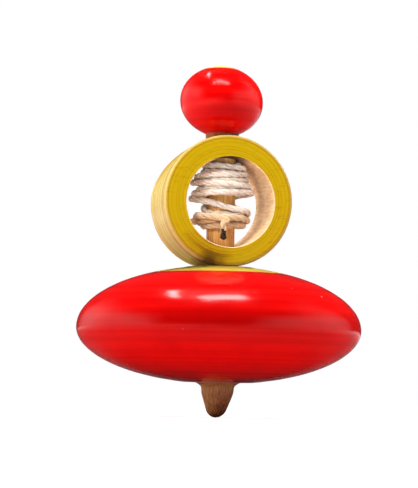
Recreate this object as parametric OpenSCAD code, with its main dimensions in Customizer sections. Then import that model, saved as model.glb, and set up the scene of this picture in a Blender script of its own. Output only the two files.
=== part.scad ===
// Pull-string spinning top. A turned disc stands on a pointed tip, and its spindle runs in a
// hand-held ring. A cord wound on the spindle, inside the ring's window, is pulled to spin it.
// Millimetres. +Z runs up the spin axis, the window faces -Y, and the origin is the tip's end.

/* [Disc and tip] */
// Largest diameter of the disc
body_d = 80.8; // [70:0.2:90]
// Height of the disc above its widest line
body_up = 17.8; // [15:0.1:20]
// Depth of the disc below its widest line
body_down = 15.6; // [12:0.1:18]
// Height of the disc's underside above the floor
tip_h = 9.5; // [8:0.1:14]
// Radius of the round end of the tip
tip_ball_r = 3.04; // [2:0.02:3.5]
// Half angle of the tip's cone, in degrees
tip_angle = 18.9; // [12:0.1:22]
// Radius of the hollow curve where the tip meets the disc
tip_fillet_r = 2.2; // [1:0.1:3]
// Diameter of the bare wood left around the root of the tip
root_d = 18.8; // [18:0.2:24]
// Diameter of the flat seat on top, under the ring
seat_d = 22; // [16:0.5:26]
// Diameter of the lacquer band around the seat
band_d = 37.2; // [28:0.5:40]

/* [Handle] */
// Outside diameter of the ring
ring_d = 37.2; // [35:0.2:42]
// Diameter of the window bored through the ring
window_d = 25.4; // [23:0.2:27]
// Length of the ring, front face to back face
ring_len = 18.5; // [17:0.5:22]
// Radius of the ring's outer edges
ring_edge_r = 0.9; // [0.4:0.1:1.5]
// Largest diameter of the knob
knob_d = 23.6; // [18:0.2:28]
// Half the height of the knob
knob_half_h = 10.1; // [8:0.1:13]
// Bare neck showing between ring and knob
neck_h = 1.06; // [0.5:0.02:4]
// Diameter of the peg that holds the knob
peg_d = 9.4; // [8.8:0.1:10.4]
// Depth of the peg's socket in the ring's top wall
peg_socket = 3.1; // [2:0.1:3.5]

/* [Spindle and cord] */
// Diameter of the spindle
spindle_d = 8; // [6:0.1:8.2]
// Depth of the spindle's socket in the disc
spindle_socket = 17; // [10:0.5:20]
// Diameter of the cord
cord_d = 1.9; // [1.2:0.1:2.2]
// Largest diameter of the wound cord
coil_d = 18; // [14:0.5:18]
// Height of the wound cord
coil_h = 19.6; // [14:0.2:20]
// Length of the cord's free end
tail_h = 6; // [4:0.5:7]

/* [Fits] */
// Radial clearance where the spindle turns or slides
run_fit = 0.08; // [0.05:0.01:0.1]
// Radial glue line of the pegged joints
glue_fit = 0.05; // [0.02:0.01:0.08]
// Gap between the disc's seat and the ring
seat_gap = 0.15; // [0.1:0.05:0.5]

/* [Hidden] */
$fn = 96;

// Steps along a long curve, and along the arc of a small edge
CURVE_STEPS = 28;
EDGE_STEPS = 6;
// A cutter runs this far past the face it opens
PAST = 1;

body_r = body_d / 2;
body_mid_z = tip_h + body_down;
root_r = root_d / 2;
root_z = body_mid_z - body_down * sqrt(1 - pow(root_d / body_d, 2));
band_r = band_d / 2;
seat_z = body_mid_z + body_up * sqrt(1 - pow(seat_d / body_d, 2));

ring_r = ring_d / 2;
window_r = window_d / 2;
ring_z = seat_z + seat_gap + ring_r;
ring_top_z = ring_z + ring_r;

knob_r = knob_d / 2;
peg_r = peg_d / 2;
peg_bottom_z = ring_top_z - peg_socket;
peg_bore_r = peg_r + glue_fit;
knob_mid_z = ring_top_z + neck_h + knob_half_h * sqrt(1 - pow(peg_d / knob_d, 2));

spindle_r = spindle_d / 2;
bearing_r = spindle_r + run_fit;
spindle_bottom_z = seat_z - spindle_socket;
// The spindle stops short of the peg, and short of the end of its own socket
END_GAP = 0.3;
CHAMFER = 0.6;

coil_r = coil_d / 2;
coil_z = ring_z + 1.6;
// Half height at which the wound cord's oval outline would close on the axis
coil_oval_h = coil_h * 0.61;

cord_r = cord_d / 2;
// The free end hangs in front of the wound cord, just left of the axis
tail_x = -1.4;
tail_y = -coil_r - 0.05;
tail_low_z = ring_z - window_r + 2.5;

// Points along an oval about (0, z) with half width a and half height b
function oval(a, b, z, from, to) =
    [for (i = [0:CURVE_STEPS]) let (t = from + (to - from) * i / CURVE_STEPS) [a * cos(t), z + b * sin(t)]];

// Points along a round edge about (x, z) with radius r
function edge(x, z, r, from, to) =
    [for (i = [0:EDGE_STEPS]) let (t = from + (to - from) * i / EDGE_STEPS) [x + r * cos(t), z + r * sin(t)]];

// Outline of the tip: round end, cone, then a hollow curve that meets the disc's underside
tip_cone_r = tip_ball_r * (1 / cos(tip_angle) - tan(tip_angle));
fillet_z = root_z - tip_fillet_r;
fillet_x = tip_cone_r + tan(tip_angle) * fillet_z + tip_fillet_r / cos(tip_angle);
tip_outline = concat(
    edge(0, tip_ball_r, tip_ball_r, -90, -tip_angle),
    edge(fillet_x, fillet_z, tip_fillet_r, 180 - tip_angle, 90)
);
disc_outline = concat(
    oval(body_r, body_down, body_mid_z, -acos(root_r / body_r), 0),
    oval(body_r, body_up, body_mid_z, 0, acos(band_r / body_r))
);
seat_outline = oval(body_r, body_up, body_mid_z, acos(band_r / body_r), acos(seat_d / body_d));

// A solid turned about Z whose side follows the points, closed flat at both ends
module turned(points) {
    last = len(points) - 1;
    rotate_extrude()
        polygon(concat([[0, points[0][1]]], points, [[0, points[last][1]]]));
}

// Disc with its pointed tip, one turned piece with a blind socket for the spindle
module top_body() {
    difference() {
        union() {
            color("sienna") turned(tip_outline);
            color("red") turned(disc_outline);
            color("khaki") turned(seat_outline);
        }
        translate([0, 0, spindle_bottom_z])
            cylinder(r = spindle_r + glue_fit, h = spindle_socket + PAST);
    }
}

// Straight dowel glued into the disc, whose upper end turns in the ring
module spindle() {
    foot_z = spindle_bottom_z + END_GAP;
    head_z = peg_bottom_z - END_GAP;
    color("peru")
        turned([
            [spindle_r - CHAMFER, foot_z],
            [spindle_r, foot_z + CHAMFER],
            [spindle_r, head_z - CHAMFER],
            [spindle_r - CHAMFER, head_z]
        ]);
}

// Short wooden tube across the axis. The spindle crosses its window and the peg sits in its top wall
module handle_ring() {
    half = ring_len / 2;
    e = ring_edge_r;
    outer = concat(
        edge(ring_r - e, e - half, e, -90, 0),
        edge(ring_r - e, half - e, e, 0, 90)
    );
    bore = [[window_r, half], [window_r, -half]];
    color("gold")
        difference() {
            translate([0, 0, ring_z])
                rotate([90, 0, 0])
                    rotate_extrude()
                        polygon(concat(outer, bore));
            translate([0, 0, ring_z - ring_r - PAST])
                cylinder(r = bearing_r, h = peg_bottom_z - ring_z + ring_r + 2 * PAST);
            translate([0, 0, peg_bottom_z])
                cylinder(r = peg_bore_r, h = peg_socket + PAST);
        }
}

// Oval knob, bored through for the peg
module handle_knob() {
    color("red")
        difference() {
            turned(oval(knob_r, knob_half_h, knob_mid_z, -90, 90));
            translate([0, 0, knob_mid_z - knob_half_h - PAST])
                cylinder(r = peg_bore_r, h = 2 * (knob_half_h + PAST));
        }
}

// Peg through the knob. It shows as the neck below, and its domed end finishes the crown
module knob_peg() {
    color("burlywood")
        turned(concat(
            [[peg_r - CHAMFER, peg_bottom_z], [peg_r, peg_bottom_z + CHAMFER]],
            oval(knob_r, knob_half_h, knob_mid_z, acos(peg_r / knob_r), 90)
        ));
}

// Envelope of the cord wound on the spindle
module string_coil() {
    end_angle = asin(coil_h / 2 / coil_oval_h);
    color("ivory")
        difference() {
            turned(oval(coil_r, coil_oval_h, coil_z, -end_angle, end_angle));
            translate([0, 0, coil_z - coil_h / 2 - PAST])
                cylinder(r = bearing_r, h = coil_h + 2 * PAST);
        }
}

// Free end of the cord, hanging in the window
module string_tail() {
    color("ivory")
        translate([tail_x, tail_y, tail_low_z]) {
            cylinder(r = cord_r, h = tail_h - cord_d);
            sphere(r = cord_r);
            translate([0, 0, tail_h - cord_d])
                sphere(r = cord_r);
        }
}

handle_ring();
handle_knob();
knob_peg();
top_body();
spindle();
string_coil();
string_tail();
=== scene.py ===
import math

import bpy
import numpy as np
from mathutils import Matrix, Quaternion, Vector


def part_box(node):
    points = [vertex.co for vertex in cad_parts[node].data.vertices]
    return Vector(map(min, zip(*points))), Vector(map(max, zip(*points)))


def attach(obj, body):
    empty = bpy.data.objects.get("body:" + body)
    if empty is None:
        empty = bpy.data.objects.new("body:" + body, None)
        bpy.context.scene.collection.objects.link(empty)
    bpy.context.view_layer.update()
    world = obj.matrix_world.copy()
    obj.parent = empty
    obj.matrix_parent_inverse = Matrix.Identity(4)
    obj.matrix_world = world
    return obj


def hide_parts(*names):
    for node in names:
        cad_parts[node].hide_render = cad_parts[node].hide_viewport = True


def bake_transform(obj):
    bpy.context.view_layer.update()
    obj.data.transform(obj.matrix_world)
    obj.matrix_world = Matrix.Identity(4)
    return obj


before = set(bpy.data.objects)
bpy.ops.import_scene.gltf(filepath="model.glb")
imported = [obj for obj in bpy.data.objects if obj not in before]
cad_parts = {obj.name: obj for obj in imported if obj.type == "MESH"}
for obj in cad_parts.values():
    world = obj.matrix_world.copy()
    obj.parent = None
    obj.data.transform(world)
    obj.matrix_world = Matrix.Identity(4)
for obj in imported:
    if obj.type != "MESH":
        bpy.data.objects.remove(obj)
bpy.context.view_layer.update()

MM = 0.001
TAU = 2 * math.pi


# ---------------------------------------------------------------- sizes read from the frame

def turned_outline(node):
    """(radius, height) of a CAD piece turned about Z, outermost at each height, bottom first."""
    widest = {}
    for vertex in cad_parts[node].data.vertices:
        x, y, z = vertex.co
        height = round(z, 6)
        widest[height] = max(widest.get(height, 0.0), math.hypot(x, y))
    points = [(widest[z], z) for z in sorted(widest)]
    # A height where only a blind hole has its floor isn't on the outline
    return [p for i, p in enumerate(points)
            if i in (0, len(points) - 1) or p[0] > 0.5 * min(points[i - 1][0], points[i + 1][0])]


def half_width(node):
    """Half the width of a CAD piece along X, which is its radius if it is round."""
    low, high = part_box(node)
    return (high.x - low.x) / 2


def window_radius():
    """Radius of the ring's bore, from the CAD vertices near its two faces."""
    near_a_face = [v.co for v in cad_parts["handle_ring"].data.vertices
                   if abs(v.co.y) > RING_HALF * 0.9]
    return min(math.hypot(co.x, co.z - RING_Z) for co in near_a_face)


BODY = turned_outline("top_body")
MID_Z = max(BODY)[1]  # where the disc is widest
SEAT_R, SEAT_Z = BODY[-1]
SPINDLE_LOW, SPINDLE_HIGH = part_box("spindle")
SPINDLE_R = half_width("spindle")
PEG_LOW, PEG_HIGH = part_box("knob_peg")
PEG_R = half_width("knob_peg")
RING_LOW, RING_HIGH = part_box("handle_ring")
RING_R = half_width("handle_ring")
RING_Z = (RING_HIGH.z + RING_LOW.z) / 2
RING_HALF = (RING_HIGH.y - RING_LOW.y) / 2
WINDOW_R = window_radius()
COIL_LOW, COIL_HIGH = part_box("string_coil")
TAIL_LOW, TAIL_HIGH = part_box("string_tail")
CORD_R = half_width("string_tail")
TAIL_X = (TAIL_HIGH.x + TAIL_LOW.x) / 2
TAIL_Y = (TAIL_HIGH.y + TAIL_LOW.y) / 2

# Radial gaps the turned pieces keep where they fit into each other
RUN_FIT = 0.08 * MM
GLUE_FIT = 0.05 * MM

# The disc. The lacquer changes colour at the pale band on top and at the bare wood underneath,
# whose outer part is painted near white and pink: painted light for the floor's bounce that lights
# it
BAND_R = 19.6 * MM
ROOT_R = 9.4 * MM
LIT_ROOT_W = 3.2 * MM
# The hollow where the tip meets the disc is tighter than the CAD's
HOLLOW_Z, HOLLOW_H, HOLLOW_DEPTH = 8.6 * MM, 1.1 * MM, 0.42 * MM
# The tip is worn so that its end leans to the left
WORN_Z, WORN_LEAN = 8.5 * MM, 0.45 * MM
# The seat has a low pad with a sloping edge
PAD_H, PAD_SLOPE_W = 0.35 * MM, 1.6 * MM

# The ring. Its outer corners are rounded, and its lowest part has a narrow flat where it rests on
# the pad
RING_EDGE = 0.9 * MM
FOOT_H = 0.32 * MM
# Its back edge is sanded down at the upper left: the middle of that and its reach to each side,
# in degrees round the ring, and its depth
FLAT_ANGLE, FLAT_REACH, FLAT_DEPTH = 132, 48, 1.0 * MM
# How far right and down the window's front edge is from the ring's centre
WINDOW_RIGHT, WINDOW_DOWN = 0.5 * MM, 0.35 * MM

# How far the knob moves left for each metre up from the ring
KNOB_LEAN = 0.039
# How far down from the knob's crown the peg's end is lacquered
PEG_CROWN_H = 0.5 * MM


# ---------------------------------------------------------------- small numeric helpers

def smooth_step(t):
    """0 to 1 along a soft S, level at both ends."""
    return t * t * (3 - 2 * t)


def smooth_noise(x, seed, octaves=3):
    """Repeatable one-dimensional noise, about -1 to 1, with a feature every unit of x."""
    table = np.random.default_rng(seed).uniform(-1, 1, 4096)
    total, weight = np.zeros_like(np.asarray(x, float)), 0.0
    for octave in range(octaves):
        # The offset keeps x above zero and stops the octaves' features from lining up
        p = np.asarray(x, float) * 2 ** octave + 97.3 * octave + 700
        i = np.floor(p).astype(int)
        f = smooth_step(p - i)
        gain = 0.5 ** octave
        total += gain * (table[i % 4096] * (1 - f) + table[(i + 1) % 4096] * f)
        weight += gain
    return total / weight


def arc(cx, cy, radius, start, stop, steps):
    """Points on an arc, angles in degrees."""
    angles = np.radians(np.linspace(start, stop, steps))
    return [(cx + radius * math.cos(a), cy + radius * math.sin(a)) for a in angles]


def spline(points, steps_for):
    """Points on a smooth curve through the given ones. steps_for(length) is the steps in a span."""
    p = np.array(points, float)
    q = np.vstack([2 * p[:1] - p[1:2], p, 2 * p[-1:] - p[-2:-1]])
    out = []
    for k in range(1, len(q) - 2):
        steps = steps_for(np.linalg.norm(q[k + 1] - q[k]))
        t = (np.arange(steps) / steps)[:, None]
        out.append(0.5 * (2 * q[k] + (q[k + 1] - q[k - 1]) * t
                          + (2 * q[k - 1] - 5 * q[k] + 4 * q[k + 1] - q[k + 2]) * t ** 2
                          + (3 * q[k] - q[k - 1] - 3 * q[k + 1] + q[k + 2]) * t ** 3))
    return np.vstack(out + [p[-1:]])


def smooth_outline(points, spacing):
    """A turned piece's (radius, height) outline, made smooth."""
    return spline(points, lambda length: max(1, math.ceil(length / spacing)))


def lengths_along(path):
    """The length of the path from its start to each of its points."""
    return np.concatenate([[0], np.cumsum(np.linalg.norm(np.diff(path, axis=0), axis=1))])


def relief(points, amount, wavelength, seed):
    """Moves an outline's points along their normals by turning marks of that depth and spacing."""
    p = np.asarray(points, float)
    step = np.gradient(p, axis=0)
    normal = np.column_stack([step[:, 1], -step[:, 0]])
    normal /= np.maximum(np.linalg.norm(normal, axis=1), 1e-12)[:, None]
    along = lengths_along(p)
    return p + normal * (amount * smooth_noise(along / wavelength, seed))[:, None]


def pairs_of(rows):
    """Rows of numbers as plain (radius, height) pairs."""
    return [tuple(row) for row in rows]


# ---------------------------------------------------------------- meshes

def make_object(name, vertices, faces):
    """A new mesh object in the scene."""
    mesh = bpy.data.meshes.new(name)
    mesh.from_pydata([tuple(v) for v in vertices], [], [tuple(f) for f in faces])
    mesh.validate()
    mesh.update()
    obj = bpy.data.objects.new(name, mesh)
    bpy.context.scene.collection.objects.link(obj)
    return obj


def shade(obj, angle=40):
    """Smooth shading that keeps edges sharper than the angle, in degrees."""
    obj.data.polygons.foreach_set("use_smooth", [True] * len(obj.data.polygons))
    obj.data.set_sharp_from_angle(angle=math.radians(angle))
    return obj


def turn_solid(name, outline, segments, closed=False, along_y=False, centre_z=0.0):
    """Turns an outline of (radius, height) into a closed mesh.

    An open outline starts and ends on the axis. A closed one makes a tube. The outline runs so
    that the solid is on its left. along_y turns it about the level axis through centre_z.
    """
    rows = [(max(r, 0.0), h) for r, h in outline]
    on_axis = [r <= 1e-9 for r, _ in rows]
    vertices, starts = [], []
    for (r, h), pole in zip(rows, on_axis):
        starts.append(len(vertices))
        for i in range(1 if pole else segments):
            a = TAU * i / segments
            x, y = r * math.cos(a), r * math.sin(a)
            vertices.append((x, -h, centre_z + y) if along_y else (x, y, h))
    faces = []
    pairs = list(zip(range(len(rows) - 1), range(1, len(rows))))
    if closed:
        pairs.append((len(rows) - 1, 0))
    for a, b in pairs:
        for i in range(segments):
            j = (i + 1) % segments
            if on_axis[a] and not on_axis[b]:
                faces.append((starts[a], starts[b] + j, starts[b] + i))
            elif on_axis[b] and not on_axis[a]:
                faces.append((starts[a] + i, starts[a] + j, starts[b]))
            elif not on_axis[a]:
                faces.append((starts[a] + i, starts[a] + j, starts[b] + j, starts[b] + i))
    return make_object(name, vertices, faces)


def cut(obj, cutter):
    """Takes the cutter's space out of the object, and removes the cutter."""
    modifier = obj.modifiers.new("cut", "BOOLEAN")
    modifier.operation = "DIFFERENCE"
    modifier.solver = "EXACT"
    modifier.object = cutter
    graph = bpy.context.evaluated_depsgraph_get()
    mesh = bpy.data.meshes.new_from_object(obj.evaluated_get(graph))
    obj.modifiers.clear()
    old = obj.data
    obj.data = mesh
    bpy.data.meshes.remove(old)
    bpy.data.objects.remove(cutter)


def assign(obj, materials, pick=None):
    """Gives the object its materials. pick(face) says which one a face takes."""
    obj.data.materials.clear()
    for material in materials:
        obj.data.materials.append(material)
    if pick:
        for polygon in obj.data.polygons:
            polygon.material_index = pick(polygon)


# ---------------------------------------------------------------- shader helpers

def add(tree, kind, inputs=None, **settings):
    """Adds a shader node. An input's value is a number, a colour or another node's socket."""
    node = tree.nodes.new("ShaderNode" + kind)
    for key, value in settings.items():
        setattr(node, key, value)
    for key, value in (inputs or {}).items():
        if isinstance(value, bpy.types.NodeSocket):
            tree.links.new(value, node.inputs[key])
        else:
            node.inputs[key].default_value = value
    return node


def calc(tree, operation, a, b=0.0):
    """A Math node's result."""
    return add(tree, "Math", {0: a, 1: b}, operation=operation).outputs[0]


def times(tree, a, b):
    """The product of two values."""
    return calc(tree, "MULTIPLY", a, b)


def vector_value(tree, operation, a, b=(0.0, 0.0, 0.0)):
    """A single number from vectors: a LENGTH, a DISTANCE or a DOT_PRODUCT."""
    return add(tree, "VectorMath", {0: a, 1: b}, operation=operation).outputs["Value"]


def rescale(tree, value, low, high, new_low=0.0, new_high=1.0):
    """The value moved from the range low to high onto the new range, and held inside it."""
    inputs = {"Value": value, "From Min": low, "From Max": high,
              "To Min": new_low, "To Max": new_high}
    return add(tree, "MapRange", inputs, clamp=True).outputs[0]


def mix(tree, factor, a, b):
    """Colour a where the factor is 0, and colour b where it is 1."""
    return add(tree, "Mix", {0: factor, 6: a, 7: b}, data_type="RGBA").outputs[2]


def srgb(r, g, b):
    """A linear colour from display values of 0 to 255."""
    def linear(v):
        v = v / 255
        return v / 12.92 if v <= 0.04045 else ((v + 0.055) / 1.055) ** 2.4
    return (linear(r), linear(g), linear(b), 1.0)


def noise(tree, vector, scale, detail=3.0, rough=0.55, stretch=(1, 1, 1)):
    """Noise of about 0 to 1. A small stretch along an axis draws it out that way."""
    moved = add(tree, "VectorMath", {0: vector, 1: stretch}, operation="MULTIPLY").outputs[0]
    inputs = {"Vector": moved, "Scale": scale, "Detail": detail, "Roughness": rough}
    return add(tree, "TexNoise", inputs).outputs[0]


def new_material(name):
    """A material and its tree, with object coordinates in millimetres."""
    material = bpy.data.materials.new(name)
    material.use_nodes = True
    tree = material.node_tree
    place = add(tree, "TexCoord").outputs["Object"]
    place = add(tree, "VectorMath", {0: place, "Scale": 1 / MM}, operation="SCALE").outputs[0]
    return material, tree, place


def turned_place(tree, place, along_y=False):
    """The radius, and a vector (radius, height, 0) that makes rings of noise round the axis."""
    if along_y:
        axis = {0: place, 1: (0, 0, RING_Z / MM)}
        place = add(tree, "VectorMath", axis, operation="SUBTRACT").outputs[0]
    x, y, z = add(tree, "SeparateXYZ", {0: place}).outputs
    across, height = ((x, z), y) if along_y else ((x, y), z)
    squares = [times(tree, v, v) for v in across]
    radius = calc(tree, "SQRT", calc(tree, "ADD", *squares))
    rings = add(tree, "CombineXYZ", {0: radius, 1: height, 2: 0.0}).outputs[0]
    return radius, rings


def bump(tree, height, depth_mm, normal=None):
    """Small relief on top of the one before it, if any."""
    inputs = {"Height": height, "Distance": depth_mm * MM, "Strength": 1.0}
    if normal:
        inputs["Normal"] = normal
    return add(tree, "Bump", inputs).outputs[0]


def finish_material(material, values):
    """Sets the main shader's inputs to numbers, colours or other nodes' sockets."""
    bsdf = material.node_tree.nodes["Principled BSDF"]
    for key, value in values.items():
        if isinstance(value, bpy.types.NodeSocket):
            material.node_tree.links.new(value, bsdf.inputs[key])
        else:
            bsdf.inputs[key].default_value = value
    return material


# ---------------------------------------------------------------- materials

# Where the ring is stained, on its front face at the lower left, and where it goes almost black just
# above the seat, partly dirt and partly painted contact shadow between the ring and the disc, in
# millimetres
STAIN_AT = (-6.5, -9.2, 44.5)
DIRT_AND_SHADOW_AT = (-5.5, -9.2, 42.6)
# The cord's lower turns are tan, partly soil and partly painted shade: the height where that ends,
# its soft edge above, and how far down the patchy noise can move both, in millimetres
SOIL_AND_SHADE_Z, SOIL_AND_SHADE_EDGE, SOIL_AND_SHADE_RAGGED = 58.5, 2.0, 4.0


def nicks(tree, place):
    """Small chips, one at the middle of about one cell in eight."""
    cells = add(tree, "TexVoronoi", {"Vector": place, "Scale": 0.22}).outputs
    draw = add(tree, "SeparateColor", {0: cells["Color"]}).outputs[0]
    chosen = rescale(tree, draw, 0.86, 0.88)
    return times(tree, rescale(tree, cells["Distance"], 0.10, 0.05), chosen)


def red_lacquer():
    """Hard gloss lacquer put on while the wood turns, so its colour runs in faint level bands."""
    material, tree, place = new_material("red_lacquer")
    _, rings = turned_place(tree, place)
    bands = noise(tree, rings, 0.55, 4)
    fine = noise(tree, rings, 3.2, 3)
    cloud = noise(tree, place, 0.11, 3)
    colour = mix(tree, rescale(tree, bands, 0.35, 0.68), srgb(202, 0, 1), srgb(233, 12, 8))
    colour = mix(tree, rescale(tree, cloud, 0.42, 0.75, 0.0, 0.5), colour, srgb(196, 0, 4))
    nick = nicks(tree, place)
    colour = mix(tree, times(tree, nick, 0.45), colour, srgb(250, 150, 130))
    normal = bump(tree, bands, 0.05)
    normal = bump(tree, fine, 0.006, normal)
    normal = bump(tree, nick, -0.12, normal)
    return finish_material(material, {
        "Base Color": colour, "Roughness": rescale(tree, fine, 0.3, 0.7, 0.12, 0.16),
        "Normal": normal, "Specular IOR Level": 0.28})


def near(tree, place, point, patch, ragged, outside, inside):
    """0 farther than outside from a point, and 1 nearer to it than inside, in millimetres.

    ragged is how far the patchy noise can draw the edge in.
    """
    apart = vector_value(tree, "DISTANCE", place, point)
    apart = calc(tree, "ADD", apart, times(tree, patch, ragged))
    return rescale(tree, apart, outside, inside)


def lacquered_face(tree, bands, grain, low, stain):
    """The colour of the ring's faces. low and stain are where it is soiled and stained."""
    colour = mix(tree, rescale(tree, bands, 0.36, 0.66), srgb(160, 120, 0), srgb(188, 155, 0))
    colour = mix(tree, rescale(tree, grain, 0.56, 0.72, 0.0, 0.55), colour, srgb(146, 88, 2))
    colour = mix(tree, times(tree, low, 0.4), colour, srgb(160, 94, 0))
    return mix(tree, times(tree, stain, 0.6), colour, srgb(92, 50, 6))


def lacquered_side(tree, rings, grain, low, stain):
    """The colour of the ring's round side, paler and less yellow than its faces."""
    wide = noise(tree, rings, 0.42, 2)
    colour = mix(tree, rescale(tree, wide, 0.4, 0.62), srgb(200, 180, 108), srgb(186, 152, 90))
    colour = mix(tree, rescale(tree, grain, 0.5, 0.7, 0.0, 0.5), colour, srgb(182, 132, 78))
    colour = mix(tree, times(tree, low, 0.5), colour, srgb(206, 150, 116))
    return mix(tree, times(tree, stain, 0.45), colour, srgb(140, 84, 44))


def yellow_lacquer():
    """Yellow lacquer thin enough for the wood's grain and the turning rings to show."""
    material, tree, place = new_material("yellow_lacquer")
    radius, rings = turned_place(tree, place, along_y=True)
    bands = noise(tree, rings, 0.9, 4)
    grain = noise(tree, place, 0.9, 5, 0.65, stretch=(0.35, 1.0, 1.6))
    patch = noise(tree, place, 0.3, 3)
    low = near(tree, place, STAIN_AT, patch, ragged=8.0, outside=13.5, inside=7.5)
    stain = times(tree, rescale(tree, noise(tree, rings, 1.1, 4, 0.6), 0.5, 0.6), low)
    dirt_and_shadow = near(tree, place, DIRT_AND_SHADOW_AT, patch, ragged=3.0, outside=6.5, inside=3.5)
    side = rescale(tree, radius, (RING_R - RING_EDGE) / MM, RING_R / MM - 0.1, 0.0, 0.9)
    colour = mix(tree, side, lacquered_face(tree, bands, grain, low, stain),
                 lacquered_side(tree, rings, grain, low, stain))
    # Painted contact shadow, with some dirt, darkens the ring almost to black where its foot meets
    # the disc
    colour = mix(tree, times(tree, dirt_and_shadow, 0.85), colour, srgb(52, 20, 4))
    normal = bump(tree, noise(tree, rings, 3.5, 3), 0.012)
    normal = bump(tree, grain, 0.02, normal)
    return finish_material(material, {
        "Base Color": colour, "Roughness": rescale(tree, bands, 0.3, 0.7, 0.2, 0.32),
        "Normal": normal, "Specular IOR Level": 0.25})


def band_lacquer():
    """The pale yellow band on the disc, turned about the upright axis."""
    material, tree, place = new_material("band_lacquer")
    _, rings = turned_place(tree, place)
    bands = noise(tree, rings, 1.4, 4)
    grain = noise(tree, place, 0.7, 4, 0.6, stretch=(0.4, 1.4, 1.0))
    colour = mix(tree, rescale(tree, bands, 0.35, 0.68), srgb(208, 176, 44), srgb(226, 200, 84))
    colour = mix(tree, rescale(tree, grain, 0.52, 0.72, 0.0, 0.5), colour, srgb(206, 158, 84))
    return finish_material(material, {
        "Base Color": colour, "Roughness": 0.3, "Normal": bump(tree, bands, 0.02),
        "Specular IOR Level": 0.25})


def bare_wood(name, light, dark, stretch, darkening=None):
    """Plain turned wood with grain that runs along the axis with the small stretch.

    darkening gives the two heights, in millimetres, between which the wood darkens, and the dark
    colour.
    """
    material, tree, place = new_material(name)
    grain = noise(tree, place, 1.3, 5, 0.6, stretch=stretch)
    pores = noise(tree, place, 5.5, 2, 0.5, stretch=stretch)
    blotch = noise(tree, place, 0.22, 3)
    colour = mix(tree, rescale(tree, grain, 0.36, 0.66), dark, light)
    colour = mix(tree, rescale(tree, pores, 0.6, 0.72, 0.0, 0.6), colour, dark)
    colour = mix(tree, rescale(tree, blotch, 0.5, 0.75, 0.0, 0.4), colour, dark)
    if darkening:
        start_z, dark_z, dark_colour = darkening
        height = add(tree, "SeparateXYZ", {0: place}).outputs[2]
        height = calc(tree, "ADD", height, times(tree, grain, abs(dark_z - start_z)))
        colour = mix(tree, rescale(tree, height, start_z, dark_z), colour, dark_colour)
    normal = bump(tree, grain, 0.05)
    normal = bump(tree, pores, 0.02, normal)
    return finish_material(material, {"Base Color": colour, "Roughness": 0.55, "Normal": normal})


def cord_material():
    """Off-white twisted cord, tan in its lower turns from soil and painted shade.

    The mesh's map runs u along a strand, in millimetres, and v round it, one unit to a ply.
    """
    material, tree, place = new_material("cord")
    uv = add(tree, "UVMap", uv_map="strand").outputs[0]
    fibres = noise(tree, uv, 1.0, 4, 0.6, stretch=(0.7, 9.0, 1.0))
    soil = noise(tree, place, 0.35, 3)
    colour = mix(tree, rescale(tree, fibres, 0.35, 0.65), srgb(206, 184, 166), srgb(240, 230, 218))
    colour = mix(tree, rescale(tree, soil, 0.5, 0.72, 0.0, 0.4), colour, srgb(190, 156, 124))
    # The lower turns go tan: soil, and painted shade
    height = add(tree, "SeparateXYZ", {0: place}).outputs[2]
    height = calc(tree, "ADD", height, times(tree, soil, SOIL_AND_SHADE_RAGGED))
    low = rescale(tree, height, SOIL_AND_SHADE_Z + SOIL_AND_SHADE_EDGE, SOIL_AND_SHADE_Z)
    colour = mix(tree, times(tree, low, 0.75), colour, srgb(196, 152, 96))
    return finish_material(material, {
        "Base Color": colour, "Roughness": 0.42, "Normal": bump(tree, fibres, 0.05),
        "Sheen Weight": 0.25, "Sheen Roughness": 0.4,
        "Subsurface Weight": 0.15, "Subsurface Radius": (1.2 * MM, 0.9 * MM, 0.6 * MM)})


def burnt_material():
    """The cord's melted end: black, lumpy and partly shiny."""
    material, tree, place = new_material("burnt_cord")
    lumps = noise(tree, place, 2.4, 4)
    colour = mix(tree, rescale(tree, lumps, 0.4, 0.7), srgb(14, 8, 5), srgb(62, 40, 26))
    return finish_material(material, {
        "Base Color": colour, "Roughness": rescale(tree, lumps, 0.35, 0.65, 0.25, 0.6),
        "Normal": bump(tree, lumps, 0.12)})


# ---------------------------------------------------------------- the turned pieces

def disc_side():
    """The disc's outline from the tip up to the seat's edge, with its turning marks."""
    side = smooth_outline([(0.0, 0.0)] + [p for p in BODY if p[1] > 1e-6], 0.35 * MM)
    side = relief(side, amount=0.018 * MM, wavelength=1.6 * MM, seed=3)
    side = relief(side, amount=0.03 * MM, wavelength=6.0 * MM, seed=4)
    hollow = np.exp(-((side[:, 1] - HOLLOW_Z) / HOLLOW_H) ** 2)
    side[:, 0] -= HOLLOW_DEPTH * hollow * (side[:, 0] < ROOT_R)
    side[:, 0] = np.maximum(side[:, 0], 0)
    side[0] = (0.0, BODY[0][1])
    return side


def disc_top(edge_r):
    """The seat with its pad, from the edge in to the spindle's socket, and the socket itself."""
    chamfer = 0.25 * MM
    socket_r = SPINDLE_R + GLUE_FIT
    floor_z = SPINDLE_LOW.z - 0.3 * MM
    pad_z = SEAT_Z + PAD_H
    radii = np.linspace(edge_r, socket_r + chamfer, 26)[1:-1]
    rise = smooth_step(np.clip((SEAT_R - radii) / PAD_SLOPE_W, 0, 1))
    seat = list(zip(radii, SEAT_Z + PAD_H * rise))
    mouth = [(socket_r + chamfer, pad_z), (socket_r, pad_z - chamfer)]
    return seat + mouth + [(socket_r, floor_z), (0.0, floor_z)]


def disc_zone(face):
    """Which of the disc's materials a face takes: red, band, tip or root."""
    radius = math.hypot(face.center.x, face.center.y)
    below = face.center.z < MID_Z
    if below and radius < ROOT_R:
        return 3 if radius > ROOT_R - LIT_ROOT_W else 2
    return 1 if not below and radius < BAND_R else 0


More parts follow.
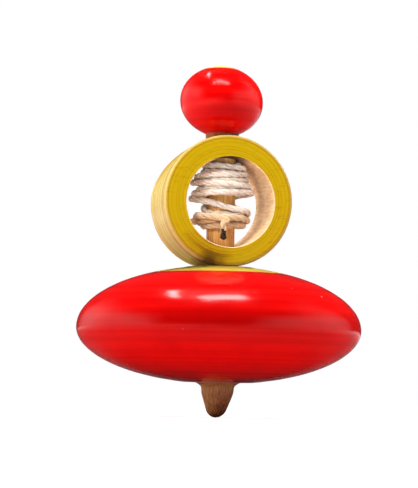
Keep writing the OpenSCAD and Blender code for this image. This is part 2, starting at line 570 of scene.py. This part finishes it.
def build_disc():
    """The disc with its tip: outline from the CAD, with lacquer edges and turning marks added."""
    side = disc_side()
    disc = turn_solid("disc_and_tip", pairs_of(side) + disc_top(side[-1][0]), 288)
    for v in disc.data.vertices:
        if v.co.z < WORN_Z:
            v.co.x -= WORN_LEAN * (1 - v.co.z / WORN_Z) ** 1.4
    assign(disc, [RED, BAND, TIP_WOOD, LIT_ROOT_WOOD], disc_zone)
    shade(disc)
    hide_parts("top_body")
    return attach(disc, "rotor")


def build_spindle():
    """The straight dowel the cord is wound on, with chamfered ends."""
    low, high, r = SPINDLE_LOW.z, SPINDLE_HIGH.z, SPINDLE_R
    chamfer = 0.6 * MM
    side = [(r, z) for z in np.linspace(low + chamfer, high - chamfer, 30)]
    side = relief(smooth_outline(side, 0.4 * MM), amount=0.012 * MM, wavelength=1.5 * MM, seed=8)
    side[:, 0] = np.minimum(side[:, 0], r)
    ends = [(0.0, low), (r - chamfer, low)], [(r - chamfer, high), (0.0, high)]
    spindle = turn_solid("spindle_rod", ends[0] + pairs_of(side) + ends[1], 96)
    assign(spindle, [SPINDLE_WOOD])
    shade(spindle, 30)
    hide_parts("spindle")
    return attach(spindle, "rotor")


def ring_outline():
    """The ring's closed section: back face, bore, front face and side, with rounded corners."""
    half, outer, inner = RING_HALF, RING_R, WINDOW_R
    edge, lip, marks = RING_EDGE, 0.35 * MM, 0.02 * MM
    face_r = np.linspace(inner + lip, outer - edge, 26)
    side_h = np.linspace(half - edge, -half + edge, 60)
    bore_h = np.linspace(-half + lip, half - lip, 50)

    def wavy(x, wavelength, seed):
        """Turning marks of that wavelength, in millimetres."""
        return marks * smooth_noise(x / (wavelength * MM), seed)

    front = [(r, half - marks + wavy(r, 0.8, 11)) for r in face_r]
    back = [(r, -half + marks - wavy(r, 0.8, 12)) for r in face_r[::-1]]
    side = [(outer - marks + wavy(h, 0.9, 13), h) for h in side_h]
    bore = [(inner + 2 * abs(wavy(h, 1.1, 14)), h) for h in bore_h]
    points = (back + arc(inner + lip, -half + lip, lip, 270, 180, 6)[1:-1]
              + bore + arc(inner + lip, half - lip, lip, 180, 90, 6)[1:-1]
              + front + arc(outer - edge, half - edge, edge, 90, 0, 10)[1:-1]
              + side + arc(outer - edge, -half + edge, edge, 0, -90, 10)[1:-1])
    return points[::-1]


def wear_ring(ring):
    """Sands down the back edge, shifts the window's front edge, and flattens the foot."""
    for v in ring.data.vertices:
        spoke = Vector((v.co.x, 0, v.co.z - RING_Z))
        inward = (RING_R - math.hypot(spoke.x, spoke.z)) / (RING_R - WINDOW_R)
        forward = (RING_HALF - v.co.y) / (2 * RING_HALF)
        away = abs(math.degrees(math.atan2(spoke.z, spoke.x)) - FLAT_ANGLE) / FLAT_REACH
        flat = max(0.0, 1 - away ** 2) ** 2
        v.co -= spoke.normalized() * FLAT_DEPTH * flat * (1 - forward) * (1 - inward)
        v.co.x += WINDOW_RIGHT * inward * forward
        v.co.z -= WINDOW_DOWN * inward * forward
        v.co.z = max(v.co.z, RING_LOW.z + FOOT_H)


def bore_ring(ring):
    """Cuts the spindle's hole through the ring's foot and the peg's hole through its top."""
    hole_r, socket_r = SPINDLE_R + RUN_FIT, PEG_R + GLUE_FIT
    low, high = RING_LOW.z - 2 * MM, RING_HIGH.z + 2 * MM
    cut(ring, turn_solid("hole_tool", [
        (0.0, low), (hole_r, low), (hole_r, PEG_LOW.z),
        (socket_r, PEG_LOW.z), (socket_r, high), (0.0, high)], 96))


def ring_zone(face):
    """Which of the ring's materials a face takes: lacquer, or bare wood in the bore and holes."""
    spoke = Vector((face.center.x, 0, face.center.z - RING_Z))
    inner_half = spoke.length < (WINDOW_R + RING_R) / 2
    in_bore = inner_half and face.normal.dot(spoke.normalized()) < -0.3
    near_axis = math.hypot(face.center.x, face.center.y) < PEG_R + GLUE_FIT + 0.02 * MM
    in_hole = near_axis and spoke.length < RING_R - 0.3 * MM
    return 1 if in_bore or in_hole else 0


def build_ring():
    """The handle's ring, with rounded edges and the holes for the spindle and the peg."""
    ring = turn_solid("ring", ring_outline(), 320, closed=True, along_y=True, centre_z=RING_Z)
    wear_ring(ring)
    bore_ring(ring)
    assign(ring, [YELLOW, BORE_WOOD], ring_zone)
    shade(ring, 35)
    ring.visible_glossy = False  # the disc is too brightly lit to mirror it
    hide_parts("handle_ring")
    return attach(ring, "handle")


def lean(obj):
    """Tips the knob's end of the handle a little to the left, as it was glued."""
    for v in obj.data.vertices:
        v.co.x -= KNOB_LEAN * max(0.0, v.co.z - RING_HIGH.z)


def build_knob():
    """The oval knob, a thick bead bored for the peg."""
    side = smooth_outline(turned_outline("handle_knob"), 0.3 * MM)
    side = relief(side, amount=0.02 * MM, wavelength=3.0 * MM, seed=21)
    bore = [(PEG_R + GLUE_FIT, z) for z in np.linspace(side[-1][1], side[0][1], 16)[1:-1]]
    knob = turn_solid("knob", pairs_of(side) + bore, 192, closed=True)
    lean(knob)
    assign(knob, [RED])
    shade(knob)
    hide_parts("handle_knob")
    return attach(knob, "handle")


def build_peg():
    """The knob's peg: bare neck, and a domed end finished in pale lacquer flush with the crown."""
    outline = turned_outline("knob_peg")
    side = pairs_of(smooth_outline(outline[1:], 0.3 * MM))
    points = [(0.0, PEG_LOW.z), outline[0]] + side[:-1] + [(0.0, PEG_HIGH.z)]
    peg = turn_solid("peg", points, 128)
    crown_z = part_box("handle_knob")[1].z - PEG_CROWN_H
    assign(peg, [PEG_WOOD_DIRT_AND_SHADE, BAND], lambda face: int(face.center.z > crown_z))
    lean(peg)
    shade(peg, 35)
    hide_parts("knob_peg")
    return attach(peg, "handle")


# ---------------------------------------------------------------- the cord

# How the cord is laid: (turns, where they end as a share of the wound height), in the order they
# were wound. Two lobes grow in layers, and the last strand crosses from the upper one to the lower.
WINDING = [
    (0.0, 0.955), (0.7, 0.95), (4.5, 0.52), (0.5, 0.25), (2.0, 0.06), (1.0, 0.15), (0.3, 0.25),
    (0.5, 0.60), (0.2, 0.61), (2.5, 0.85), (0.35, 0.71), (0.8, 0.62), (0.25, 0.53), (0.5, 0.575),
    (0.25, 0.54), (0.25, 0.46), (0.48, 0.25), (1.52, 0.14)]
STEPS_PER_TURN = 180
# The cord ends on the left of the window, where its free end comes off
END_ANGLE = math.pi
# The share of its radius that a turn keeps where others rest on it
BEDDED_R = 0.94
# The share of the height over the first layer that is left once the cord is pulled tight
LAYER_PRESS = 0.8
PLIES = 3
PLY_SIDES = 8
# The plies press into each other, so each is thicker than one of three circles that just touch
PLY_SWELL = 1.12
# Length of cord in which a ply goes once round it, as laid and where it will be stretched
TWIST = 8.5 * MM
TIGHT_TWIST = 1.8 * MM
# The stretch of the free end, along the pull, that lengthens as it is drawn out
PULL_START_Y, PULL_END_Y = -1.3 * MM, -4.9 * MM


def soften(values, half=11):
    """Rounds off the corners in a row of values, over that many steps on each side."""
    kernel = np.hanning(2 * half + 1)
    kernel /= kernel.sum()
    return np.convolve(np.pad(values, half, mode="edge"), kernel, mode="valid")


def bridge(values, largest=6, mean=7):
    """Carries a row of values over its dips, as a taut cord does.

    Each becomes the largest within so many steps, and then the mean of those within so many.
    """
    wide = np.array([values[max(0, k - largest):k + largest + 1].max()
                     for k in range(len(values))])
    width = 2 * mean + 1
    return np.convolve(np.pad(wide, mean, mode="edge"), np.ones(width) / width, mode="valid")


def winding_heights():
    """The number of turns so far and the cord's height, at each step of the winding."""
    turns = np.cumsum([stage[0] for stage in WINDING])
    shares = [stage[1] for stage in WINDING]
    t = np.arange(int(turns[-1] * STEPS_PER_TURN)) / STEPS_PER_TURN
    z = COIL_LOW.z + (COIL_HIGH.z - COIL_LOW.z) * np.interp(t, turns, shares)
    wobble = 0.25 * MM * smooth_noise(t * 1.7, 31, 2)
    return t, soften(z + wobble)


def wind_cord():
    """The wound cord's centre line. Each turn rests on the spindle or on the turns already laid.

    surface holds the radius of what is wound so far, at each angle and each cell of height. The
    cord is laid a chunk at a time, and a chunk looks ahead to what it will have to climb.
    """
    cell_h, margin, chunk, ahead = 0.1 * MM, 20, 30, 14
    cells = int((COIL_HIGH.z - COIL_LOW.z) / cell_h) + 2 * margin
    base_z = COIL_LOW.z - margin * cell_h
    surface = np.full((STEPS_PER_TURN, cells), SPINDLE_R)
    reach = np.arange(-8, 9)  # the cells under a turn, from its middle
    bulge = np.sqrt(np.maximum(0, (CORD_R * BEDDED_R) ** 2 - (reach * cell_h) ** 2))
    t, z = winding_heights()
    steps = len(t)
    angle = END_ANGLE + (t - t[-1]) * TAU
    column = np.round(angle / TAU * STEPS_PER_TURN).astype(int) % STEPS_PER_TURN
    cell = np.round((z - base_z) / cell_h).astype(int)
    radius = np.zeros(steps)
    for start in range(0, steps, chunk):
        first, last = max(0, start - ahead), min(steps, start + chunk + ahead)
        rest = np.array([(surface[column[i], cell[i] + reach] + bulge).max()
                         for i in range(first, last)])
        rest[:start - first] = radius[first:start]
        laid = bridge(rest)
        for i in range(start, min(steps, start + chunk)):
            radius[i] = laid[i - first]
            here = surface[column[i], cell[i] + reach]
            surface[column[i], cell[i] + reach] = np.maximum(here, radius[i] + bulge)
    radius = soften(radius)
    radius = radius.min() + (radius - radius.min()) * LAYER_PRESS
    return np.column_stack([radius * np.cos(angle), radius * np.sin(angle), z])


def frame_along(path):
    """Two directions square to the path at each point, carried along it without twisting."""
    step = np.gradient(path, axis=0)
    tangent = step / np.linalg.norm(step, axis=1)[:, None]
    normal = np.zeros_like(path)
    guide = np.cross(tangent[0], (0.0, 0.0, 1.0))
    normal[0] = guide / np.linalg.norm(guide)
    for i in range(1, len(path)):
        n = normal[i - 1] - tangent[i] * (normal[i - 1] @ tangent[i])
        normal[i] = n / np.linalg.norm(n)
    return normal, np.cross(tangent, normal)


def tube_rings(centre, out, radius):
    """The vertices of a tube round a centre line, a ring of them to each point."""
    drift = np.gradient(centre, axis=0)
    drift /= np.linalg.norm(drift, axis=1)[:, None]
    across = np.cross(drift, out)
    angles = np.arange(PLY_SIDES) * TAU / PLY_SIDES
    return [centre[i] + radius * (math.cos(a) * out[i] + math.sin(a) * across[i])
            for i in range(len(centre)) for a in angles]


def tube_faces(first, along, ply):
    """A closed tube's faces, from its first vertex on, and their places on the fibres' map."""
    faces, uv = [], []
    for i in range(len(along) - 1):
        a, b = first + i * PLY_SIDES, first + (i + 1) * PLY_SIDES
        u0, u1 = along[i] / MM, along[i + 1] / MM
        for k in range(PLY_SIDES):
            m = (k + 1) % PLY_SIDES
            v0, v1 = ply + k / PLY_SIDES, ply + (k + 1) / PLY_SIDES
            faces.append((a + k, b + k, b + m, a + m))
            uv += [(u0, v0), (u1, v0), (u1, v1), (u0, v1)]
    last = first + (len(along) - 1) * PLY_SIDES
    faces.append(tuple(first + k for k in range(PLY_SIDES)))
    faces.append(tuple(last + k for k in reversed(range(PLY_SIDES))))
    uv += [(0.0, 0.0)] * (2 * PLY_SIDES)
    return faces, uv


def rope(name, path, radius, pitch):
    """A cord of twisted plies along a path, each ply a closed tube, with a map for the fibres.

    pitch is the length for one turn of the twist: one number, or one for each step of the path.
    """
    normal, side = frame_along(path)
    along = lengths_along(path)
    turns = np.concatenate([[0], np.cumsum(np.diff(along) / pitch)])
    ply_r = radius / (1 + 1 / math.sin(math.pi / PLIES)) * PLY_SWELL
    vertices, faces, uv = [], [], []
    for ply in range(PLIES):
        turn = TAU * (turns + ply / PLIES)
        out = normal * np.cos(turn)[:, None] + side * np.sin(turn)[:, None]
        ply_faces, ply_uv = tube_faces(len(vertices), along, ply)
        vertices += tube_rings(path + out * (radius - ply_r), out, ply_r)
        faces += ply_faces
        uv += ply_uv
    obj = make_object(name, vertices, faces)
    layer = obj.data.uv_layers.new(name="strand")
    layer.data.foreach_set("uv", np.array(uv, np.float32).ravel())
    return shade(obj, 60)


def tail_path():
    """The free end: it comes round the coil's left side to the front, then hangs."""
    top, low = TAIL_HIGH.z, TAIL_LOW.z
    points = [
        (-7.4 * MM, -1.0 * MM, top + 1.2 * MM),
        (-6.9 * MM, -4.6 * MM, top + 1.0 * MM),
        (-4.0 * MM, -7.6 * MM, top + 0.5 * MM),
        (-0.6 * MM, TAIL_Y + 0.1 * MM, top - 0.2 * MM),
        (TAIL_X - 0.1 * MM, TAIL_Y - 0.1 * MM, top - 1.3 * MM),
        (TAIL_X, TAIL_Y, (low + top) / 2 + 0.2 * MM),
        (TAIL_X, TAIL_Y, low + 2.6 * MM)]
    return spline(points, lambda length: max(2, int(length / (0.08 * MM))))


def build_coil():
    """The wound cord."""
    coil = rope("cord_coil", wind_cord(), CORD_R, TWIST)
    assign(coil, [CORD])
    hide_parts("string_coil")
    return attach(coil, "coil")


def build_tail(line):
    """The free end, which stretches from the handle to the pulled end.

    The part that stretches starts tightly twisted, to look right when it is long.
    """
    stretching = (line[1:, 1] < PULL_START_Y) & (line[1:, 1] > PULL_END_Y)
    tail = rope("cord_tail", line, CORD_R * 0.98, np.where(stretching, TIGHT_TWIST, TWIST))
    assign(tail, [CORD])
    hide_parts("string_tail")
    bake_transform(tail)
    return tail


def burnt_outline(low, high):
    """The melted blob: rounded below, with a waist above its middle."""
    rounded = 0.28
    outline = []
    for z in np.linspace(low, high, 40):
        s = (z - low) / (high - low)
        swell = math.sqrt(max(0.0, 1 - (1 - min(s / rounded, 1)) ** 2))
        outline.append((CORD_R * swell * (0.86 + 0.1 * math.sin(7 * s) - 0.06 * s), z))
    return outline + [(0.0, high)]


def build_burnt_end(high):
    """The melted end of the cord, up to the given height, set under the hanging free end."""
    burnt = turn_solid("burnt_end", burnt_outline(TAIL_LOW.z, high), 40)
    for v in burnt.data.vertices:
        a = math.atan2(v.co.y, v.co.x)
        lump = 1 + 0.12 * math.sin(3 * a + v.co.z * 2200) + 0.07 * math.sin(5 * a - v.co.z * 3900)
        v.co.x = TAIL_X + v.co.x * lump
        v.co.y = TAIL_Y + v.co.y * lump
    assign(burnt, [BURNT])
    shade(burnt, 60)
    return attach(burnt, "string_end")


def build_cord():
    """The cord's three pieces. The burnt end comes up a little over the free end."""
    line = tail_path()
    return [build_coil(), build_tail(line), build_burnt_end(line[-1][2] + 0.5 * MM)]


# ---------------------------------------------------------------- stage, light and camera

# Brightness of the room: of the light from behind, of what gloss mirrors in general, and of the
# bright walls that it mirrors
AMBIENT = 0.35
ROOM_GLOW = 0.04
WALL_GLOW = 1.15
# The walls stand to the left and right, turned this far clockwise as seen from above
WALL_TURN = math.radians(24)
WHITE = (1, 1, 1, 1)


def glow_of(tree, strength):
    """A white light from the surface itself."""
    return add(tree, "Emission", {"Color": WHITE, "Strength": strength}).outputs[0]


def floor_material():
    """White paint, except that the camera sees it glow white and gloss mirrors it as dim.

    The glow leaves a soft shadow. What gloss mirrors gets brighter far to the sides.
    """
    material, tree, place = new_material("floor_white")
    mottle = noise(tree, place, 0.02, 3)
    colour = mix(tree, mottle, (0.90, 0.90, 0.90, 1), (0.94, 0.94, 0.93, 1))
    finish_material(material, {"Base Color": colour, "Roughness": 0.8, "Specular IOR Level": 0.1})
    plain = tree.nodes["Principled BSDF"].outputs[0]

    apart = vector_value(tree, "LENGTH", place)
    glow = glow_of(tree, rescale(tree, apart, 150.0, 600.0, 0.90, 1.0))
    matt = add(tree, "BsdfDiffuse", {"Color": (0.45, 0.45, 0.45, 1)}).outputs[0]
    shown = add(tree, "AddShader", {0: glow, 1: matt}).outputs[0]

    sideways = calc(tree, "ABSOLUTE", add(tree, "SeparateXYZ", {0: place}).outputs[0])
    mirrored = glow_of(tree, calc(tree, "ADD", rescale(tree, apart, 35.0, 60.0, 0.02, 0.11),
                                  rescale(tree, sideways, 60.0, 350.0, 0.0, 0.75)))

    paths = add(tree, "LightPath").outputs
    both = add(tree, "MixShader", {0: paths["Is Glossy Ray"], 1: plain, 2: mirrored}).outputs[0]
    both = add(tree, "MixShader", {0: paths["Is Camera Ray"], 1: both, 2: shown}).outputs[0]
    tree.links.new(both, tree.nodes["Material Output"].inputs["Surface"])
    return material


def build_stage():
    """The plain floor, wide enough to reach past the picture from any side."""
    half = 3.0
    corners = [(-half, -half, 0), (half, -half, 0), (half, half, 0), (-half, half, 0)]
    floor = make_object("floor", corners, [(0, 1, 2, 3)])
    assign(floor, [floor_material()])
    return floor


def build_world():
    """White to the camera. It lights a little from behind, and gloss mirrors bright side walls."""
    world = bpy.data.worlds.new("studio")
    bpy.context.scene.world = world
    world.use_nodes = True
    tree = world.node_tree
    direction = add(tree, "TexCoord").outputs["Generated"]
    _, backward, upward = add(tree, "SeparateXYZ", {0: direction}).outputs
    wall_side = (math.cos(WALL_TURN), -math.sin(WALL_TURN), 0.0)
    sideways = calc(tree, "ABSOLUTE", vector_value(tree, "DOT_PRODUCT", direction, wall_side))
    walls = times(tree, rescale(tree, sideways, 0.55, 0.9), rescale(tree, upward, 0.7, 0.4))
    walls = times(tree, walls, rescale(tree, upward, 0.0, 0.25, 0.62, 1.0))
    mirrored = calc(tree, "ADD", times(tree, walls, WALL_GLOW), ROOM_GLOW)
    behind = times(tree, rescale(tree, backward, 0.0, 0.6), AMBIENT)
    paths = add(tree, "LightPath").outputs
    light = {0: paths["Is Glossy Ray"], 2: behind, 3: mirrored}
    light = add(tree, "Mix", light, data_type="FLOAT").outputs[0]
    strength = {0: paths["Is Camera Ray"], 2: light, 3: 1.0}
    strength = add(tree, "Mix", strength, data_type="FLOAT").outputs[0]
    background = tree.nodes["Background"]
    background.inputs["Color"].default_value = WHITE
    tree.links.new(strength, background.inputs["Strength"])


def area_light(name, place, aim, size, power, glossy=True, only=None, turn=0.0):
    """A rectangular lamp in watts. only lists the pieces it lights, and turn spins it on its aim."""
    data = bpy.data.lights.new(name, "AREA")
    data.energy = power
    data.shape = "RECTANGLE"
    data.size, data.size_y = size
    lamp = bpy.data.objects.new(name, data)
    lamp.location = place
    look = (Vector(aim) - Vector(place)).to_track_quat("-Z", "Y")
    lamp.rotation_mode = "QUATERNION"
    lamp.rotation_quaternion = look @ Quaternion((0, 0, 1), turn)
    lamp.visible_glossy = glossy
    bpy.context.scene.collection.objects.link(lamp)
    if only:
        group = bpy.data.collections.new(name + "_group")
        for obj in only:
            group.objects.link(obj)
        lamp.light_linking.receiver_collection = group


def build_lights(disc, knob, handle, cord, floor):
    """Soft lamps that gloss doesn't mirror, then narrow ones that make the lacquer's highlights."""
    centre = (0, 0, 50 * MM)
    window = [piece for piece in handle if piece != knob]
    # Name, place in metres, width in metres, power, and what it lights
    soft_lamps = [
        ("floor_wash", (0.0, -0.05, 0.85), 0.9, 8.6, [floor]),
        ("floor_front", (0.0, -0.50, 0.60), 0.4, 3.4, [floor]),
        ("disc_key", (0.0, 0.13, 0.78), 0.4, 10.0, [disc]),
        ("disc_left", (-0.80, -0.05, 0.15), 0.4, 2.9, [disc]),
        ("disc_right", (0.60, 0.0, 0.50), 0.4, 3.6, [disc]),
        ("handle_key", (-0.07, -0.29, 0.75), 0.3, 5.6, handle),
        ("handle_back", (0.0, 0.45, 0.60), 0.3, 3.6, handle),
        ("handle_left", (-0.65, 0.02, 0.36), 0.4, 5.2, handle),
        ("handle_right", (0.60, 0.05, 0.55), 0.4, 6.4, handle),
        ("window_fill", (-0.60, -0.58, 0.34), 0.3, 4.6, window),
        ("cord_fill", (-0.17, -0.70, 0.06), 0.2, 1.8, cord)]
    for name, place, width, power, pieces in soft_lamps:
        area_light(name, place, centre, (width, width), power, glossy=False, only=pieces)
    area_light("bar_on_knob", (-0.076, -0.27, 0.686), (0, 0, 0.094), (0.42, 0.10), 1.9,
               only=[knob])
    area_light("bar_on_disc", (0.022, 0.012, 0.728), (0.022, 0.012, 0), (0.25, 0.16), 1.9,
               only=[disc])
    area_light("strip", (-0.168, 0.228, 0.715), (-0.168, 0.228, 0), (0.045, 0.28), 0.6,
               turn=-0.37)


def build_camera():
    """Seen a little from the left and from just above the floor, with a slight roll."""
    azimuth, elevation, roll = math.radians(-14), math.radians(-3.6), math.radians(1.1)
    distance = 0.70
    picture_height = 138.8 * MM
    # The camera looks at a point this far left of the axis and this high
    target_left, target_z = 3.2 * MM, 49.2 * MM
    target = Vector((-target_left * math.cos(azimuth), -target_left * math.sin(azimuth), target_z))
    back = Vector((math.sin(azimuth) * math.cos(elevation), -math.cos(azimuth) * math.cos(elevation),
                   math.sin(elevation)))
    data = bpy.data.cameras.new("camera")
    camera = bpy.data.objects.new("camera", data)
    bpy.context.scene.collection.objects.link(camera)
    camera.location = target + back * distance
    camera.rotation_mode = "QUATERNION"
    camera.rotation_quaternion = Quaternion(back, roll) @ (-back).to_track_quat("-Z", "Y")
    # The frame's long side is its height, so the sensor's width is measured along it
    data.lens = data.sensor_width * distance / picture_height
    data.clip_start, data.clip_end = 0.05, 20
    bpy.context.scene.camera = camera


# ---------------------------------------------------------------- the whole scene

bpy.context.scene.view_settings.view_transform = "Standard"

RED = red_lacquer()
YELLOW = yellow_lacquer()
BAND = band_lacquer()
UPRIGHT_GRAIN = (1.6, 1.6, 0.14)
# The peg's bare wood is very dark: painted shade under the knob, with some dirt
PEG_WOOD_DIRT_AND_SHADE = bare_wood("peg_wood_dirt_and_shade", srgb(146, 84, 36), srgb(86, 36, 12), UPRIGHT_GRAIN)
SPINDLE_WOOD = bare_wood("spindle_wood", srgb(238, 188, 112), srgb(204, 136, 62), UPRIGHT_GRAIN)
# The tip's wood darkens towards its end.
TIP_WOOD = bare_wood("tip_wood", srgb(226, 166, 106), srgb(174, 106, 58), (1.8, 1.8, 0.12),
                     darkening=(8.5, 0.5, srgb(92, 42, 24)))
# Painted light: the underside's outer ring of bare wood is coloured near white to stand in for light
# bounced up from the floor
LIT_ROOT_WOOD = bare_wood("lit_root_wood", srgb(255, 216, 200), srgb(240, 170, 150), (1.2, 1.2, 1.2))
# The bore's wood darkens to near black towards the window's top: painted shade where the ring's top
# wall shades the bore.
WINDOW_TOP = (RING_Z + WINDOW_R) / MM
BORE_WOOD = bare_wood("bore_wood", srgb(250, 222, 180), srgb(226, 182, 132), (1.2, 0.14, 1.2),
                      darkening=(WINDOW_TOP - 1.2, WINDOW_TOP + 0.2, srgb(70, 32, 16)))
CORD = cord_material()
BURNT = burnt_material()

disc = build_disc()
knob = build_knob()
cord = build_cord()
handle = [knob, build_spindle(), build_ring(), build_peg()] + cord
floor = build_stage()
build_world()
build_lights(disc, knob, handle, cord, floor)
build_camera()
